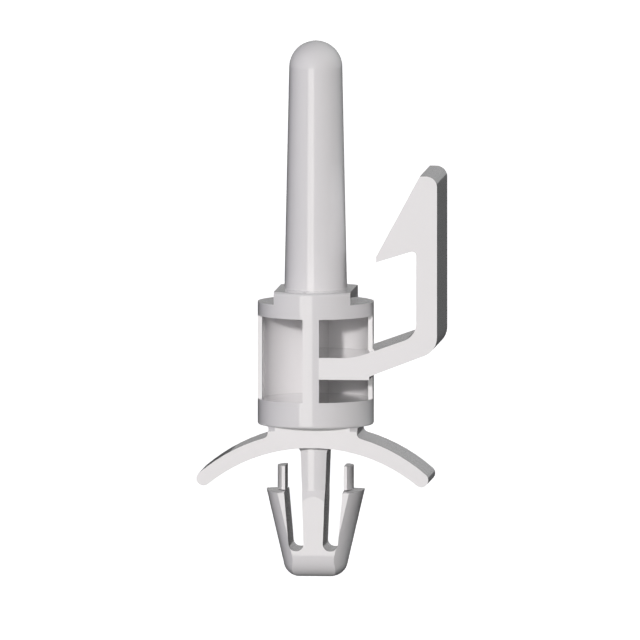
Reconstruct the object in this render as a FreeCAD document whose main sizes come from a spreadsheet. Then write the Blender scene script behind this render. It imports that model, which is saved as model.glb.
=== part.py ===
import FreeCAD, Part
import math
import os

import Sketcher
from FreeCAD import Vector

# A moulded nylon support that holds one edge of a circuit board above a chassis panel. It is a
# single piece. The frame's origin is on its axis, level with the shoulders of the split anchor:
# the anchor goes down through the panel's round hole, and its shoulders then catch under the
# panel. +X points to the latch arm, and the open windows of the column face -Y.

# Every size is in millimetres or degrees. A "reach" is a distance from the axis along X, a
# "level" a height above the shoulders, and a "depth" a size from front to back.
SIZES = {
    # The split anchor, which is pushed through the panel's hole
    "anchor_depth": 3.6,
    "wing_reach": 2.93,
    "wing_round": 2.5,
    "tip_reach": 1.72,
    "tip_length": 5.2,
    "tip_round": 0.9,
    "tip_face_round": 1.35,
    "slot_length": 3.6,
    "slot_top_reach": 1.75,
    "slot_foot_reach": 1.44,
    "shoulder_flat": 0.6,
    "shoulder_drop": 0.12,
    "prong_reach": 2.27,
    "prong_round": 1.72,
    "prong_depth": 2.0,
    "prong_height": 1.415,
    # The stem between the anchor and the spring bow
    "stem_top_reach": 0.79,
    "stem_foot_reach": 0.56,
    "stem_radius": 1.65,
    "stem_fillet": 0.42,
    "flare_start": 0.1,
    "flare_length": 0.85,
    "flare_growth": 0.3,
    "flare_angle": 76,
    # The spring bow, whose ends press on the panel
    "bow_level": 2.63,
    "bow_thickness": 0.98,
    "bow_depth": 4.7,
    "bow_reach": 6.93,
    "bow_top_radius": 10.35,
    "bow_under_radius": 9.92,
    "neck_reach": 2.66,
    "neck_height": 0.25,
    "neck_fillet": 0.32,
    "neck_top_fillet": 0.12,
    "neck_corner": 0.42,
    # The column: two discs, and between them a central rib and a thin round wall at the back
    "disc_radius": 3.46,
    "foot_disc": 1.56,
    "foot_disc_round": 0.15,
    "window_height": 4.98,
    "head_disc": 0.81,
    "rib_width": 0.98,
    "wall": 0.26,
    "wall_front": 0.45,
    # The boss that the board rests on, and the pin that its hole slides down over
    "boss_height": 0.76,
    "boss_reach": 2.29,
    "boss_round": 0.2,
    "pin_length": 14.81,
    "pin_foot_radius": 1.885,
    "pin_dome_radius": 1.585,
    # The latch arm and its barbed hook, which snaps over the board's edge
    "bar_gap": 1.41,
    "bar_thickness": 1.3,
    "bar_step": 0.2,
    "arm_start": 3.5,
    "arm_slope": 21,
    "arm_top_slope": 19.6,
    "arm_top_start": 2.58,
    "arm_top_round": 4,
    "arm_reach": 7.55,
    "arm_thickness": 1.25,
    "arm_outer_round": 1.2,
    "arm_inner_round": 1.1,
    "board_gap": 1.89,
    "barb_reach": 3.9,
    "barb_nose": 0.34,
    "barb_rise": 0.75,
    "barb_round": 0.24,
    "hook_height": 5.17,
    "hook_top": 1.04,
    "hook_round": 0.65,
}

# Places and levels that follow from the sizes
FORMULAS = {
    "anchor_face": "anchor_depth / 2",
    "wing_centre": "wing_reach - wing_round",
    "tip_centre": "tip_reach - wing_round",
    "tip_level": "-tip_length",
    "tip_round_top": "2 * tip_face_round - tip_length",
    "below_tip": "-tip_length - tip_face_round",
    "before_face": "anchor_face + tip_face_round",
    "anchor_width": "2 * wing_reach",
    "slot_foot": "-slot_length",
    "slot_round": "(slot_foot_reach - stem_foot_reach) * 0.48",
    "slot_middle": "(stem_top_reach + slot_top_reach) / 2",
    "shoulder_reach": "shoulder_flat / 2",
    "prong_centre": "prong_reach - prong_round",
    "prong_face": "prong_depth / 2",
    "flare_foot": "flare_start - flare_length",
    "flare_radius": "stem_radius + flare_growth",
    "flare_clear": "flare_radius + flare_growth",
    "bow_crown": "bow_level + bow_thickness",
    "bow_middle": "bow_level + bow_thickness / 2",
    "bow_top_centre": "bow_crown - bow_top_radius",
    "bow_under_centre": "bow_level - bow_under_radius",
    "foot_level": "bow_crown + neck_height",
    "corner_start": "neck_reach - 2 * neck_corner",
    "corner_end": "neck_reach + neck_corner",
    "corner_back": "bow_depth / 2 - 2 * neck_corner",
    "corner_front": "bow_depth / 2 + neck_corner",
    "shelf": "foot_level + foot_disc",
    "ceiling": "shelf + window_height",
    "deck": "ceiling + head_disc",
    "seat": "deck + boss_height",
    "pin_tip": "seat + pin_length",
    "rib_reach": "rib_width / 2",
    "window_radius": "disc_radius - wall",
    "clear_of_disc": "disc_radius * 1.2",
    "disc_width": "2 * disc_radius",
    "bar_low": "shelf + bar_gap",
    "bar_high": "bar_low + bar_thickness",
    "arm_low": "bar_low + bar_step",
    "arm_corner": "arm_low + (arm_reach - arm_start) * tan(arm_slope * 1 deg)",
    "arm_inner_reach": "arm_reach - arm_thickness",
    "arm_inner_corner": "bar_high + (arm_inner_reach - arm_top_start) * tan(arm_top_slope * 1 deg)",
    "barb_low": "seat + board_gap",
    "barb_high": "barb_low + barb_nose",
    "barb_root": "barb_low + barb_rise",
    "hook_level": "barb_low + hook_height",
    "hook_corner": "arm_reach - hook_top",
}

os.makedirs("parts", exist_ok=True)
doc = FreeCAD.newDocument("pcb_standoff")

sheet = doc.addObject("Spreadsheet::Sheet", "sizes")
cells = {name: str(size) for name, size in SIZES.items()}
cells.update({name: "=" + formula for name, formula in FORMULAS.items()})
for row, (name, content) in enumerate(cells.items(), start=1):
    sheet.set(f"A{row}", name)
    sheet.set(f"B{row}", content)
    sheet.setAlias(f"B{row}", name)
doc.recompute()

body = doc.addObject("PartDesign::Body", "standoff")
body.Label = "standoff"
body.Placement = FreeCAD.Placement()


def origin(role):
    """One of the body's own planes or axes, such as XZ_Plane or Z_Axis."""
    return next(item for item in body.Origin.OriginFeatures if item.Role == role)


def value(name):
    """What a cell comes to. A minus sign before its name turns it round, and "0" is nought."""
    if name == "0":
        return 0.0
    return -value(name[1:]) if name.startswith("-") else float(sheet.get(name))


def tied(name):
    """The cell's name as an object outside the sheet writes it."""
    return "-sizes." + name[1:] if name.startswith("-") else "sizes." + name


class Outline:
    """A sketch on one of the body's planes, with its ends and radii tied to the sheet."""

    def __init__(self, name, plane, lift=None):
        self.sketch = body.newObject("Sketcher::SketchObject", name)
        self.sketch.AttachmentSupport = [(origin(plane), "")]
        self.sketch.MapMode = "FlatFace"
        if lift:
            self.sketch.setExpression(".AttachmentOffset.Base.z", tied(lift))

    def line(self, start, end):
        return self.sketch.addGeometry(Part.LineSegment(Vector(*start), Vector(*end)))

    def arc(self, start, middle, end):
        """An arc that runs anticlockwise through three places."""
        return self.sketch.addGeometry(Part.Arc(Vector(*start), Vector(*middle), Vector(*end)))

    def tie(self, *parts):
        return self.sketch.addConstraint(Sketcher.Constraint(*parts))

    def join(self, *chain):
        """Closes a chain of (item, end where it is entered, end where it is left)."""
        for (first, _, leave), (second, enter, _) in zip(chain, chain[1:] + chain[:1]):
            self.tie("Coincident", first, leave, second, enter)

    def size(self, kind, *parts):
        """A constraint whose last part is a cell's name."""
        *parts, name = parts
        row = self.tie(kind, *parts, value(name))
        self.sketch.setExpression(f"Constraints[{row}]", tied(name))

    def pin(self, item, end, across=None, up=None):
        """Ties one end of a line or arc, or its centre, to a place."""
        for kind, axis, name in (("DistanceX", -2, across), ("DistanceY", -1, up)):
            if name == "0":
                self.tie("PointOnObject", item, end, axis)
            elif name:
                self.size(kind, -1, 1, item, end, name)

    def polygon(self, *corners):
        """Straight sides between corners (across, up), or (across, up, radius) if rounded."""
        places = [Vector(value(corner[0]), value(corner[1])) for corner in corners]
        following = places[1:] + places[:1]
        arcs = {}
        leave = []
        reach = []
        for i, (corner, here, after) in enumerate(zip(corners, places, following)):
            if len(corner) == 2:
                reach.append(here)
                leave.append(here)
                continue
            back = (places[i - 1] - here).normalize()
            ahead = (after - here).normalize()
            half = back.getAngle(ahead) / 2
            radius = value(corner[2])
            centre = here + (back + ahead).normalize() * (radius / math.sin(half))
            middle = centre + (here - centre).normalize() * radius
            reach.append(here + back * (radius / math.tan(half)))
            leave.append(here + ahead * (radius / math.tan(half)))
            if ahead.cross(back).z > 0:
                arcs[i] = (self.arc(reach[i], middle, leave[i]), 1, 2)
            else:
                arcs[i] = (self.arc(leave[i], middle, reach[i]), 2, 1)
        sides = [self.line(start, end) for start, end in zip(leave, reach[1:] + reach[:1])]
        for i, (corner, here) in enumerate(zip(corners, places)):
            before = sides[i - 1]
            after = sides[i]
            if i not in arcs:
                self.tie("Coincident", before, 2, after, 1)
                self.pin(after, 1, corner[0], corner[1])
                continue
            arc, near, far = arcs[i]
            mark = self.sketch.addGeometry(Part.Point(here), True)
            self.pin(mark, 1, corner[0], corner[1])
            self.tie("PointOnObject", mark, 1, before)
            self.tie("PointOnObject", mark, 1, after)
            self.tie("Tangent", before, 2, arc, near)
            self.tie("Tangent", arc, far, after, 1)
            self.size("Radius", arc, corner[2])


def feature(kind, name, **settings):
    """A feature of the body, built and checked. A cut has to take something away."""
    before = body.Shape.Volume if body.Shape.Solids else 0
    item = body.newObject("PartDesign::" + kind, name)
    for key, setting in settings.items():
        setattr(item, key, setting)
    body.Tip = item
    doc.recompute()
    if "Invalid" in item.State:
        raise RuntimeError(name + " is not built")
    if kind in ("Pocket", "Groove") and not item.Shape.Volume < before:
        raise RuntimeError(name + " cuts nothing")
    return item


def extruded(kind, name, outline, length, **settings):
    """A pad or pocket whose length is tied to the sheet."""
    item = feature(kind, name, Profile=outline.sketch, Length=value(length), **settings)
    item.setExpression("Length", tied(length))
    return item


def turned(kind, name, outline, **settings):
    """A revolution or groove about the axis."""
    return feature(kind, name, Profile=outline.sketch, ReferenceAxis=(origin("Z_Axis"), [""]),
                   **settings)


def rounded(name, base, radius, test):
    """A fillet along the edges of a feature that pass a test."""
    names = [f"Edge{i}" for i, edge in enumerate(base.Shape.Edges, start=1) if test(edge)]
    item = feature("Fillet", name, Base=(base, names), Radius=value(radius))
    item.setExpression("Radius", tied(radius))
    return item


def mirrored(name, original, plane):
    return feature("Mirrored", name, Originals=[original], MirrorPlane=(origin(plane), [""]))


def at_level(edge, name):
    """True for an edge that lies at one level."""
    level = value(name)
    return abs(edge.BoundBox.ZMin - level) < 1e-4 and abs(edge.BoundBox.ZMax - level) < 1e-4


def anchor_section(name, centre, lift=None):
    """The anchor's section: flat at front and back, and round at both sides."""
    outline = Outline(name, "XY_Plane", lift)
    middle = value(centre)
    radius = value("wing_round")
    face = value("anchor_face")
    side = middle + math.sqrt(radius ** 2 - face ** 2)
    right = outline.arc((side, -face), (middle + radius, 0), (side, face))
    back = outline.line((side, face), (-side, face))
    left = outline.arc((-side, face), (-middle - radius, 0), (-side, -face))
    front = outline.line((-side, -face), (side, -face))
    outline.join((right, 1, 2), (back, 1, 2), (left, 1, 2), (front, 1, 2))
    outline.size("Radius", right, "wing_round")
    outline.tie("Equal", right, left)
    outline.pin(right, 3, centre, "0")
    outline.tie("Symmetric", right, 3, left, 3, -1, 1)
    for end in (1, 2):
        outline.pin(back, end, None, "anchor_face")
        outline.pin(front, end, None, "-anchor_face")
    return outline


def anchor():
    """The blank of the split anchor: its sides narrow to a tip that is rounded all round."""
    top = anchor_section("anchor_top", "wing_centre")
    tip = anchor_section("anchor_tip", "tip_centre", "tip_level")
    blank = feature("AdditiveLoft", "anchor_blank", Profile=top.sketch, Sections=[tip.sketch],
                    Ruled=True)
    rounded("tip_rounding", blank, "tip_round", lambda edge: at_level(edge, "tip_level"))

    corner = Outline("tip_face_corner", "YZ_Plane")
    corner.polygon(("anchor_face", "tip_level", "tip_face_round"),
                   ("anchor_face", "tip_round_top"),
                   ("before_face", "tip_round_top"),
                   ("before_face", "below_tip"),
                   ("0", "below_tip"),
                   ("0", "tip_level"))
    cut = extruded("Pocket", "tip_face_rounding", corner, "anchor_width", Midplane=True)
    mirrored("tip_back_rounding", cut, "XZ_Plane")


def stem():
    """The stem up to the bow, and the slots that free the two wings from it."""
    column = Outline("stem_section", "XZ_Plane")
    column.polygon(("0", "flare_foot"), ("stem_radius", "flare_foot"),
                   ("stem_radius", "bow_middle"), ("0", "bow_middle"))
    turned("Revolution", "stem", column)

    slot = Outline("slot_section", "XZ_Plane")
    slot.polygon(("stem_foot_reach", "slot_foot", "slot_round"),
                 ("slot_foot_reach", "slot_foot", "slot_round"),
                 ("slot_top_reach", "0"),
                 ("slot_top_reach", "bow_level"),
                 ("stem_top_reach", "bow_level", "stem_fillet"))
    cut = extruded("Pocket", "slot", slot, "anchor_width", Midplane=True)
    mirrored("slots", cut, "YZ_Plane")

    flare = Outline("flare_section", "YZ_Plane")
    flare.polygon(("-stem_radius", "flare_start"), ("-flare_clear", "flare_start"),
                  ("-flare_clear", "flare_foot"), ("-flare_radius", "flare_foot"))
    cut = turned("Groove", "stem_flare", flare, Midplane=True, Angle=value("flare_angle"))
    cut.setExpression("Angle", tied("flare_angle"))
    mirrored("stem_back_flare", cut, "XZ_Plane")


def wings():
    """The sloping ends of the wings' shoulders, and the prongs that centre them in the hole."""
    slope = Outline("shoulder_section", "YZ_Plane", "slot_middle")
    for side in ("", "-"):
        slope.polygon((side + "shoulder_reach", "0"),
                      (side + "anchor_face", "-shoulder_drop"),
                      (side + "anchor_depth", "-shoulder_drop"),
                      (side + "anchor_depth", "shoulder_drop"),
                      (side + "shoulder_reach", "shoulder_drop"))
    cut = extruded("Pocket", "shoulder_slope", slope, "wing_reach", Reversed=True)
    mirrored("shoulder_slopes", cut, "YZ_Plane")

    section = Outline("prong_section", "XY_Plane")
    inner = value("slot_top_reach")
    half = value("prong_face")
    radius = value("prong_round")
    outer = value("prong_centre") + math.sqrt(radius ** 2 - half ** 2)
    front = section.line((inner, -half), (outer, -half))
    side = section.arc((outer, -half), (value("prong_reach"), 0), (outer, half))
    back = section.line((outer, half), (inner, half))
    inside = section.line((inner, half), (inner, -half))
    section.join((front, 1, 2), (side, 1, 2), (back, 1, 2), (inside, 1, 2))
    section.pin(side, 3, "prong_centre", "0")
    section.size("Radius", side, "prong_round")
    section.tie("Horizontal", front)
    section.tie("Horizontal", back)
    section.pin(inside, 1, "slot_top_reach", "prong_face")
    section.pin(inside, 2, "slot_top_reach", "-prong_face")
    prong = extruded("Pad", "prong", section, "prong_height")
    mirrored("prongs", prong, "YZ_Plane")


def bow():
    """The spring bow and the neck under the lower disc, drawn as one half."""
    half = Outline("bow_section", "XZ_Plane")
    top_radius = value("bow_top_radius")
    top_centre = Vector(0, value("bow_top_centre"))
    under_radius = value("bow_under_radius")
    under_centre = Vector(0, value("bow_under_centre"))
    low = 0
    high = value("bow_thickness")
    for _ in range(40):
        # Halves the span in which the rounded end touches both faces at the bow's reach
        end_radius = (low + high) / 2
        end_across = value("bow_reach") - end_radius
        from_top = math.sqrt((top_radius - end_radius) ** 2 - end_across ** 2)
        from_under = math.sqrt((under_radius + end_radius) ** 2 - end_across ** 2)
        if top_centre.y + from_top > under_centre.y + from_under:
            low = end_radius
        else:
            high = end_radius
    end_centre = Vector(end_across, top_centre.y + from_top)
    end_low = end_centre + (under_centre - end_centre).normalize() * end_radius
    end_high = end_centre + (end_centre - top_centre).normalize() * end_radius
    neck = value("neck_reach")
    fillet = value("neck_fillet")
    top_fillet = value("neck_top_fillet")
    fillet_up = top_centre.y + math.sqrt((top_radius + fillet) ** 2 - (neck + fillet) ** 2)
    fillet_centre = Vector(neck + fillet, fillet_up)
    foot = value("foot_level")

    meet = top_centre + (fillet_centre - top_centre).normalize() * top_radius
    crown = under_centre + Vector(0, under_radius)
    halfway = (end_low + crown - under_centre * 2).normalize() * under_radius
    under = half.arc(end_low, under_centre + halfway, crown)
    end = half.arc(end_low, end_centre + Vector(end_radius, 0), end_high)
    halfway = (end_high + meet - top_centre * 2).normalize() * top_radius
    top = half.arc(end_high, top_centre + halfway, meet)
    low_corner = Vector(-1, -1).normalize() * fillet
    low_fillet = half.arc(Vector(neck, fillet_up), fillet_centre + low_corner, meet)
    side = half.line(Vector(neck, fillet_up), Vector(neck, foot - top_fillet))
    high_centre = Vector(neck + top_fillet, foot - top_fillet)
    high_corner = Vector(-1, 1).normalize() * top_fillet
    high_fillet = half.arc(high_centre + Vector(0, top_fillet), high_centre + high_corner,
                           Vector(neck, foot - top_fillet))
    lid = half.line(Vector(neck + top_fillet, foot), Vector(0, foot))
    axis = half.line(Vector(0, foot), crown)
    for first, first_end, second, second_end in ((under, 1, end, 1), (end, 2, top, 1),
                                                 (top, 2, low_fillet, 2), (low_fillet, 1, side, 1),
                                                 (side, 2, high_fillet, 2)):
        half.tie("Tangent", first, first_end, second, second_end)
    half.tie("Coincident", high_fillet, 1, lid, 1)
    half.tie("Coincident", lid, 2, axis, 1)
    half.tie("Coincident", axis, 2, under, 2)
    half.tie("Vertical", side)
    half.tie("Horizontal", lid)
    half.tie("Vertical", high_fillet, 1, high_fillet, 3)
    half.size("Radius", top, "bow_top_radius")
    half.size("Radius", under, "bow_under_radius")
    half.size("Radius", low_fillet, "neck_fillet")
    half.size("Radius", high_fillet, "neck_top_fillet")
    half.pin(top, 3, "0", "bow_top_centre")
    half.pin(under, 3, "0", "bow_under_centre")
    half.pin(axis, 1, "0", "foot_level")
    half.pin(under, 2, "0")
    half.pin(side, 2, "neck_reach")
    limit = half.line(Vector(value("bow_reach"), 0), Vector(value("bow_reach"), value("bow_level")))
    half.sketch.toggleConstruction(limit)
    half.pin(limit, 1, "bow_reach", "0")
    half.pin(limit, 2, "bow_reach", "bow_level")
    half.tie("Tangent", limit, end)
    pad = extruded("Pad", "half_bow", half, "bow_depth", Midplane=True)
    mirrored("bow", pad, "YZ_Plane")

    # Above the bow's crown the neck's corners are cut off, to keep them under the lower disc
    corners = Outline("neck_corner_section", "XY_Plane", "bow_crown")
    for side in ("", "-"):
        for front in ("", "-"):
            corners.polygon((side + "corner_start", front + "corner_front"),
                            (side + "corner_end", front + "corner_front"),
                            (side + "corner_end", front + "corner_back"))
    extruded("Pocket", "neck_corners", corners, "neck_height", Reversed=True)


def trunk():
    """The column with its discs, turned with the long pin and its domed tip."""
    half = Outline("trunk_section", "XZ_Plane")
    radius = value("disc_radius")
    bend = value("foot_disc_round")
    foot = value("foot_level")
    deck = value("deck")
    pin = value("pin_foot_radius")
    dome = value("pin_dome_radius")
    tip = value("pin_tip")
    centre = Vector(0, tip - dome)
    start = Vector(pin, deck) - centre
    turn = math.atan2(start.y, start.x) + math.acos(dome / start.Length)
    tangent = centre + Vector(math.cos(turn), math.sin(turn)) * dome
    shoulder = centre + Vector(1, 1).normalize() * dome

    base = half.line((0, foot), (radius - bend, foot))
    rim_middle = Vector(radius - bend, foot + bend) + Vector(1, -1).normalize() * bend
    rim = half.arc((radius - bend, foot), rim_middle, (radius, foot + bend))
    wall = half.line((radius, foot + bend), (radius, deck))
    table = half.line((radius, deck), (pin, deck))
    taper = half.line((pin, deck), tangent)
    cap = half.arc(tangent, shoulder, (0, tip))
    axis = half.line((0, tip), (0, foot))
    half.tie("Tangent", base, 2, rim, 1)
    half.tie("Tangent", rim, 2, wall, 1)
    half.tie("Coincident", wall, 2, table, 1)
    half.tie("Coincident", table, 2, taper, 1)
    half.tie("Tangent", taper, 2, cap, 1)
    half.tie("Coincident", cap, 2, axis, 1)
    half.tie("Coincident", axis, 2, base, 1)
    half.tie("Horizontal", base)
    half.tie("Vertical", wall)
    half.size("Radius", rim, "foot_disc_round")
    half.size("Radius", cap, "pin_dome_radius")
    half.pin(cap, 3, "0")
    half.pin(axis, 1, "0", "pin_tip")
    half.pin(axis, 2, "0", "foot_level")
    half.pin(table, 1, "disc_radius", "deck")
    half.pin(table, 2, "pin_foot_radius", "deck")
    turned("Revolution", "trunk", half)


def boss():
    """The boss under the board: a slice of the column's cylinder between two flats."""
    section = Outline("boss_section", "XY_Plane", "deck")
    reach = value("boss_reach")
    radius = value("disc_radius")
    side = math.sqrt(radius ** 2 - reach ** 2)
    right = section.line((reach, -side), (reach, side))
    back = section.arc((reach, side), (0, radius), (-reach, side))
    left = section.line((-reach, side), (-reach, -side))
    front = section.arc((-reach, -side), (0, -radius), (reach, -side))
    section.join((right, 1, 2), (back, 1, 2), (left, 1, 2), (front, 1, 2))
    for arc in (front, back):
        section.tie("Coincident", arc, 3, -1, 1)
    section.size("Radius", back, "disc_radius")
    section.tie("Equal", front, back)
    for end in (1, 2):
        section.pin(right, end, "boss_reach")
        section.pin(left, end, "-boss_reach")
    block = extruded("Pad", "boss", section, "boss_height")
    limit = value("pin_foot_radius") + value("boss_round")
    rounded("boss_rounding", block, "boss_round",
            lambda edge: at_level(edge, "seat") and edge.BoundBox.XLength > limit
            and "Circle" in edge.Curve.TypeId and edge.Curve.Radius > limit)


def windows():
    """The two windows, which leave a rib in the middle and the thin wall round the back."""
    section = Outline("window_section", "XY_Plane", "shelf")
    rib = value("rib_reach")
    clear = value("clear_of_disc")
    radius = value("window_radius")
    end = value("wall_front")
    across = math.sqrt(radius ** 2 - end ** 2)
    back = math.sqrt(radius ** 2 - rib ** 2)
    between = Vector(math.cos(0.8), math.sin(0.8)) * radius
    front = section.line((rib, -clear), (clear, -clear))
    outside = section.line((clear, -clear), (clear, -end))
    face = section.line((clear, -end), (across, -end))
    wall = section.arc((across, -end), between, (rib, back))
    side = section.line((rib, back), (rib, -clear))
    section.join((front, 1, 2), (outside, 1, 2), (face, 1, 2), (wall, 1, 2), (side, 1, 2))
    section.tie("Horizontal", face)
    section.size("Radius", wall, "window_radius")
    section.tie("Coincident", wall, 3, -1, 1)
    section.pin(front, 1, "rib_reach", "-clear_of_disc")
    section.pin(front, 2, "clear_of_disc", "-clear_of_disc")
    section.pin(outside, 2, "clear_of_disc", "-wall_front")
    section.pin(side, 1, "rib_reach")
    cut = extruded("Pocket", "window", section, "window_height", Reversed=True)
    mirrored("windows", cut, "YZ_Plane")


def latch():
    """The bar across the right window, the arm that springs out of it, and the barbed hook."""
    section = Outline("latch_section", "XZ_Plane")
    section.polygon(("rib_reach", "bar_low"),
                    ("arm_start", "bar_low"),
                    ("arm_start", "arm_low"),
                    ("arm_reach", "arm_corner", "arm_outer_round"),
                    ("arm_reach", "hook_level", "hook_round"),
                    ("hook_corner", "hook_level"),
                    ("barb_reach", "barb_high"),
                    ("barb_reach", "barb_low"),
                    ("arm_inner_reach", "barb_root", "barb_round"),
                    ("arm_inner_reach", "arm_inner_corner", "arm_inner_round"),
                    ("arm_top_start", "bar_high", "arm_top_round"),
                    ("rib_reach", "bar_high"))
    extruded("Pad", "latch", section, "disc_width", Midplane=True)


anchor()
stem()
wings()
bow()
trunk()
boss()
windows()
latch()

doc.recompute()
for item in doc.Objects:
    if "Invalid" in item.State or "Error" in item.State:
        raise RuntimeError(f"{item.Name} is not built: {item.State}")
shape = body.Shape
if shape.isNull() or not shape.isValid():
    raise RuntimeError("standoff has no valid shape")
print("standoff:", len(shape.Solids), "solid,", round(shape.Volume, 2), "mm3")
shape.exportStep("parts/standoff.step")
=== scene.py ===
import bpy
import math
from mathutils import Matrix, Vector

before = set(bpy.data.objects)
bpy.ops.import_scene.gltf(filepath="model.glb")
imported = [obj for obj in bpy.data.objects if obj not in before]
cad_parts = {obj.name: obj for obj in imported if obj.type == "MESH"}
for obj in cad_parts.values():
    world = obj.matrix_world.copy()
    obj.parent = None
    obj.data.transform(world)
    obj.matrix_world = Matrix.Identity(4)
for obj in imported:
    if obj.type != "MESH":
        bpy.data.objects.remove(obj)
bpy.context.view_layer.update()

MM = 0.001
WHITE = (1, 1, 1, 1)

# The camera looks along straight parallel lines, a little from the right and from above
CAMERA_AZIMUTH = 5.1
CAMERA_ELEVATION = 5.5
CAMERA_DISTANCE = 500 * MM
PICTURE_WIDTH = 38.095 * MM
CENTRE_RIGHT = 0.25 * MM
CENTRE_UP = 10.018 * MM

# The softbox that the round faces show as a pale upright stripe
SOFTBOX_AZIMUTH = -14.5
SOFTBOX_DISTANCE = 250 * MM
SOFTBOX_LEVEL = 8.3 * MM
SOFTBOX_WIDTH = 112 * MM
SOFTBOX_HEIGHT = 97 * MM
SOFTBOX_POWER = 0.056

# The part's gloss shows the white surround, but dimmer than the camera sees it
SURROUND_IN_GLOSS = 0.3

# The floor lies so low that the part's shadow falls outside the picture
FLOOR_LEVEL = -42 * MM
FLOOR_SIDE = 4000 * MM
FLOOR_GLOW = 0.66
FLOOR_PALE = (0.8, 0.8, 0.8, 1)
FLOOR_DULL = (0.2, 0.2, 0.2, 1)
FLOOR_IN_GLOSS = (0.06, 0.06, 0.06, 1)

# Natural nylon, between these two tints and these two roughnesses, under a clear gloss
NYLON_DARK = (0.86, 0.85, 0.853, 1)
NYLON_PALE = (0.89, 0.88, 0.883, 1)
SMOOTHEST = 0.09
ROUGHEST = 0.17
REFRACTION = 1.5
CLEAR_ROUGHNESS = 0.03

# How many clouds of tint and grains of the mould's surface lie along a metre, and the grains' height
CLOUDS = 260
GRAINS = 2400
GRAIN_HEIGHT = 0.008 * MM
GRAIN_STRENGTH = 0.25

# The sockets of a colour Mix node, whose names its other kinds of socket share
MIX_FACTOR = 0
MIX_FIRST = 6
MIX_SECOND = 7
MIX_RESULT = 2


def direction(azimuth, elevation):
    """Towards a place seen from the part: azimuth 0 is the front, 90 the right, in degrees."""
    a = math.radians(azimuth)
    e = math.radians(elevation)
    return Vector((math.sin(a) * math.cos(e), -math.cos(a) * math.cos(e), math.sin(e)))


def add(name, data):
    item = bpy.data.objects.new(name, data)
    bpy.context.scene.collection.objects.link(item)
    return item


def aim(item, place, target):
    item.location = place
    item.rotation_mode = "QUATERNION"
    item.rotation_quaternion = (target - place).to_track_quat("-Z", "Y")


def make_camera():
    data = bpy.data.cameras.new("camera")
    data.type = "ORTHO"
    data.ortho_scale = PICTURE_WIDTH
    data.clip_start = 10 * MM
    data.clip_end = 5000 * MM
    camera = add("camera", data)
    back = direction(CAMERA_AZIMUTH, CAMERA_ELEVATION)
    right = direction(CAMERA_AZIMUTH + 90, 0)
    centre = right * CENTRE_RIGHT + back.cross(right) * CENTRE_UP
    aim(camera, centre + back * CAMERA_DISTANCE, centre)
    bpy.context.scene.camera = camera


def add_sun(name, azimuth, elevation, spread, energy, colour):
    """A far lamp, as wide as its spread in degrees, that doesn't show in the part's gloss."""
    lamp = bpy.data.lights.new(name, "SUN")
    lamp.energy = energy
    lamp.angle = math.radians(spread)
    lamp.color = colour
    sun = add(name, lamp)
    sun.visible_glossy = False
    aim(sun, direction(azimuth, elevation), Vector())


def add_softbox():
    """A near lamp that only shows in the part's gloss."""
    lamp = bpy.data.lights.new("softbox", "AREA")
    lamp.shape = "RECTANGLE"
    lamp.size = SOFTBOX_WIDTH
    lamp.size_y = SOFTBOX_HEIGHT
    lamp.energy = SOFTBOX_POWER
    lamp.color = (1, 0.98, 0.93)
    softbox = add("softbox", lamp)
    softbox.visible_diffuse = False
    level = Vector((0, 0, SOFTBOX_LEVEL))
    aim(softbox, level + direction(SOFTBOX_AZIMUTH, 0) * SOFTBOX_DISTANCE, level)


def make_lights():
    # A low lamp in front gives the crisp shadows, a softer one fills them, and wide ones stand round
    add_sun("key", -8, 12, 3, 1.66, (1, 0.97, 0.97))
    add_sun("front", 0, 10, 90, 0.3, (1, 1, 1))
    add_sun("fill", 0, 5, 25, 0.62, (1, 0.99, 1))
    add_sun("left", -70, 20, 60, 0.14, (0.4, 0.45, 1))
    add_sun("back_right", 126, 33, 40, 1.35, (0.96, 0.985, 1))
    add_sun("back_left", -165, 22, 40, 1.5, (1, 0.99, 0.98))
    add_softbox()


def feed(tree, source, socket):
    """Links a node's output to a socket, or gives the socket a plain value."""
    if isinstance(source, bpy.types.NodeSocket):
        tree.links.new(source, socket)
    else:
        socket.default_value = source


def calculate(tree, operation, first, second):
    item = tree.nodes.new("ShaderNodeMath")
    item.operation = operation
    feed(tree, first, item.inputs[0])
    feed(tree, second, item.inputs[1])
    return item.outputs[0]


def blend(tree, factor, first, second):
    """Turns the first colour into the second as the factor goes from nought to one."""
    item = tree.nodes.new("ShaderNodeMix")
    item.data_type = "RGBA"
    feed(tree, factor, item.inputs[MIX_FACTOR])
    feed(tree, first, item.inputs[MIX_FIRST])
    feed(tree, second, item.inputs[MIX_SECOND])
    return item.outputs[MIX_RESULT]


def noise(tree, place, scale, detail):
    item = tree.nodes.new("ShaderNodeTexNoise")
    feed(tree, scale, item.inputs["Scale"])
    feed(tree, detail, item.inputs["Detail"])
    feed(tree, place, item.inputs["Vector"])
    return item.outputs["Fac"]


def straight(tree, ray):
    """One where the camera sees the thing itself or sees it through something clear."""
    return calculate(tree, "MAXIMUM", ray["Is Camera Ray"], ray["Is Transmission Ray"])


def make_surround():
    """A white surround for the camera and the gloss, which throws no light on the part."""
    world = bpy.data.worlds.new("studio")
    bpy.context.scene.world = world
    world.use_nodes = True
    tree = world.node_tree
    tree.nodes.clear()
    ray = tree.nodes.new("ShaderNodeLightPath").outputs
    in_gloss = calculate(tree, "MULTIPLY", ray["Is Glossy Ray"], SURROUND_IN_GLOSS)
    surround = tree.nodes.new("ShaderNodeBackground")
    feed(tree, WHITE, surround.inputs["Color"])
    feed(tree, calculate(tree, "MAXIMUM", straight(tree, ray), in_gloss), surround.inputs["Strength"])
    output = tree.nodes.new("ShaderNodeOutputWorld")
    feed(tree, surround.outputs[0], output.inputs["Surface"])


def new_material(name):
    material = bpy.data.materials.new(name)
    material.use_nodes = True
    tree = material.node_tree
    return material, tree, tree.nodes["Principled BSDF"].inputs


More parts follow.
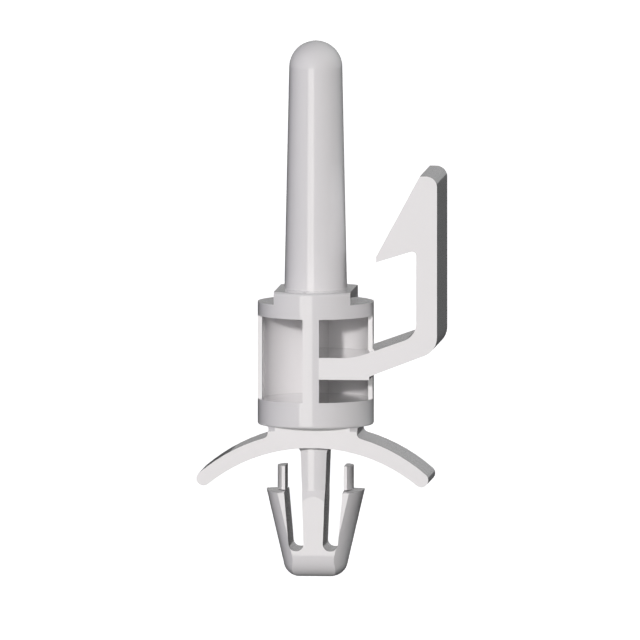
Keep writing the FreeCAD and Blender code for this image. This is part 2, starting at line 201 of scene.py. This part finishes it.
def make_floor():
    """A floor that is pale to the camera, but throws little light up and is dark in the gloss."""
    bpy.ops.mesh.primitive_plane_add(size=FLOOR_SIDE, location=(0, 0, FLOOR_LEVEL))
    floor = bpy.context.object
    floor.name = "floor"
    material, tree, shader = new_material("floor")
    ray = tree.nodes.new("ShaderNodeLightPath").outputs
    pale = straight(tree, ray)
    dull = blend(tree, ray["Is Glossy Ray"], FLOOR_DULL, FLOOR_IN_GLOSS)
    feed(tree, blend(tree, pale, dull, FLOOR_PALE), shader["Base Color"])
    feed(tree, 0.9, shader["Roughness"])
    feed(tree, WHITE, shader["Emission Color"])
    feed(tree, calculate(tree, "MULTIPLY", pale, FLOOR_GLOW), shader["Emission Strength"])
    floor.data.materials.append(material)


def nylon():
    """Smooth moulded nylon: a clear gloss over a near-white body with a faint, slow unevenness."""
    material, tree, shader = new_material("gloss_nylon")
    feed(tree, REFRACTION, shader["IOR"])
    feed(tree, 1, shader["Coat Weight"])
    feed(tree, CLEAR_ROUGHNESS, shader["Coat Roughness"])
    feed(tree, REFRACTION, shader["Coat IOR"])

    place = tree.nodes.new("ShaderNodeTexCoord").outputs["Object"]
    cloud = noise(tree, place, CLOUDS, 3)
    feed(tree, blend(tree, cloud, NYLON_DARK, NYLON_PALE), shader["Base Color"])
    gloss = tree.nodes.new("ShaderNodeMapRange")
    feed(tree, cloud, gloss.inputs["Value"])
    feed(tree, SMOOTHEST, gloss.inputs["To Min"])
    feed(tree, ROUGHEST, gloss.inputs["To Max"])
    feed(tree, gloss.outputs["Result"], shader["Roughness"])

    bump = tree.nodes.new("ShaderNodeBump")
    feed(tree, noise(tree, place, GRAINS, 2), bump.inputs["Height"])
    feed(tree, GRAIN_STRENGTH, bump.inputs["Strength"])
    feed(tree, GRAIN_HEIGHT, bump.inputs["Distance"])
    feed(tree, bump.outputs["Normal"], shader["Normal"])
    return material


make_camera()
make_lights()
make_surround()
make_floor()
material = nylon()
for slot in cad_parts["standoff"].material_slots:
    slot.material = material

bpy.context.scene.view_settings.view_transform = "Standard"
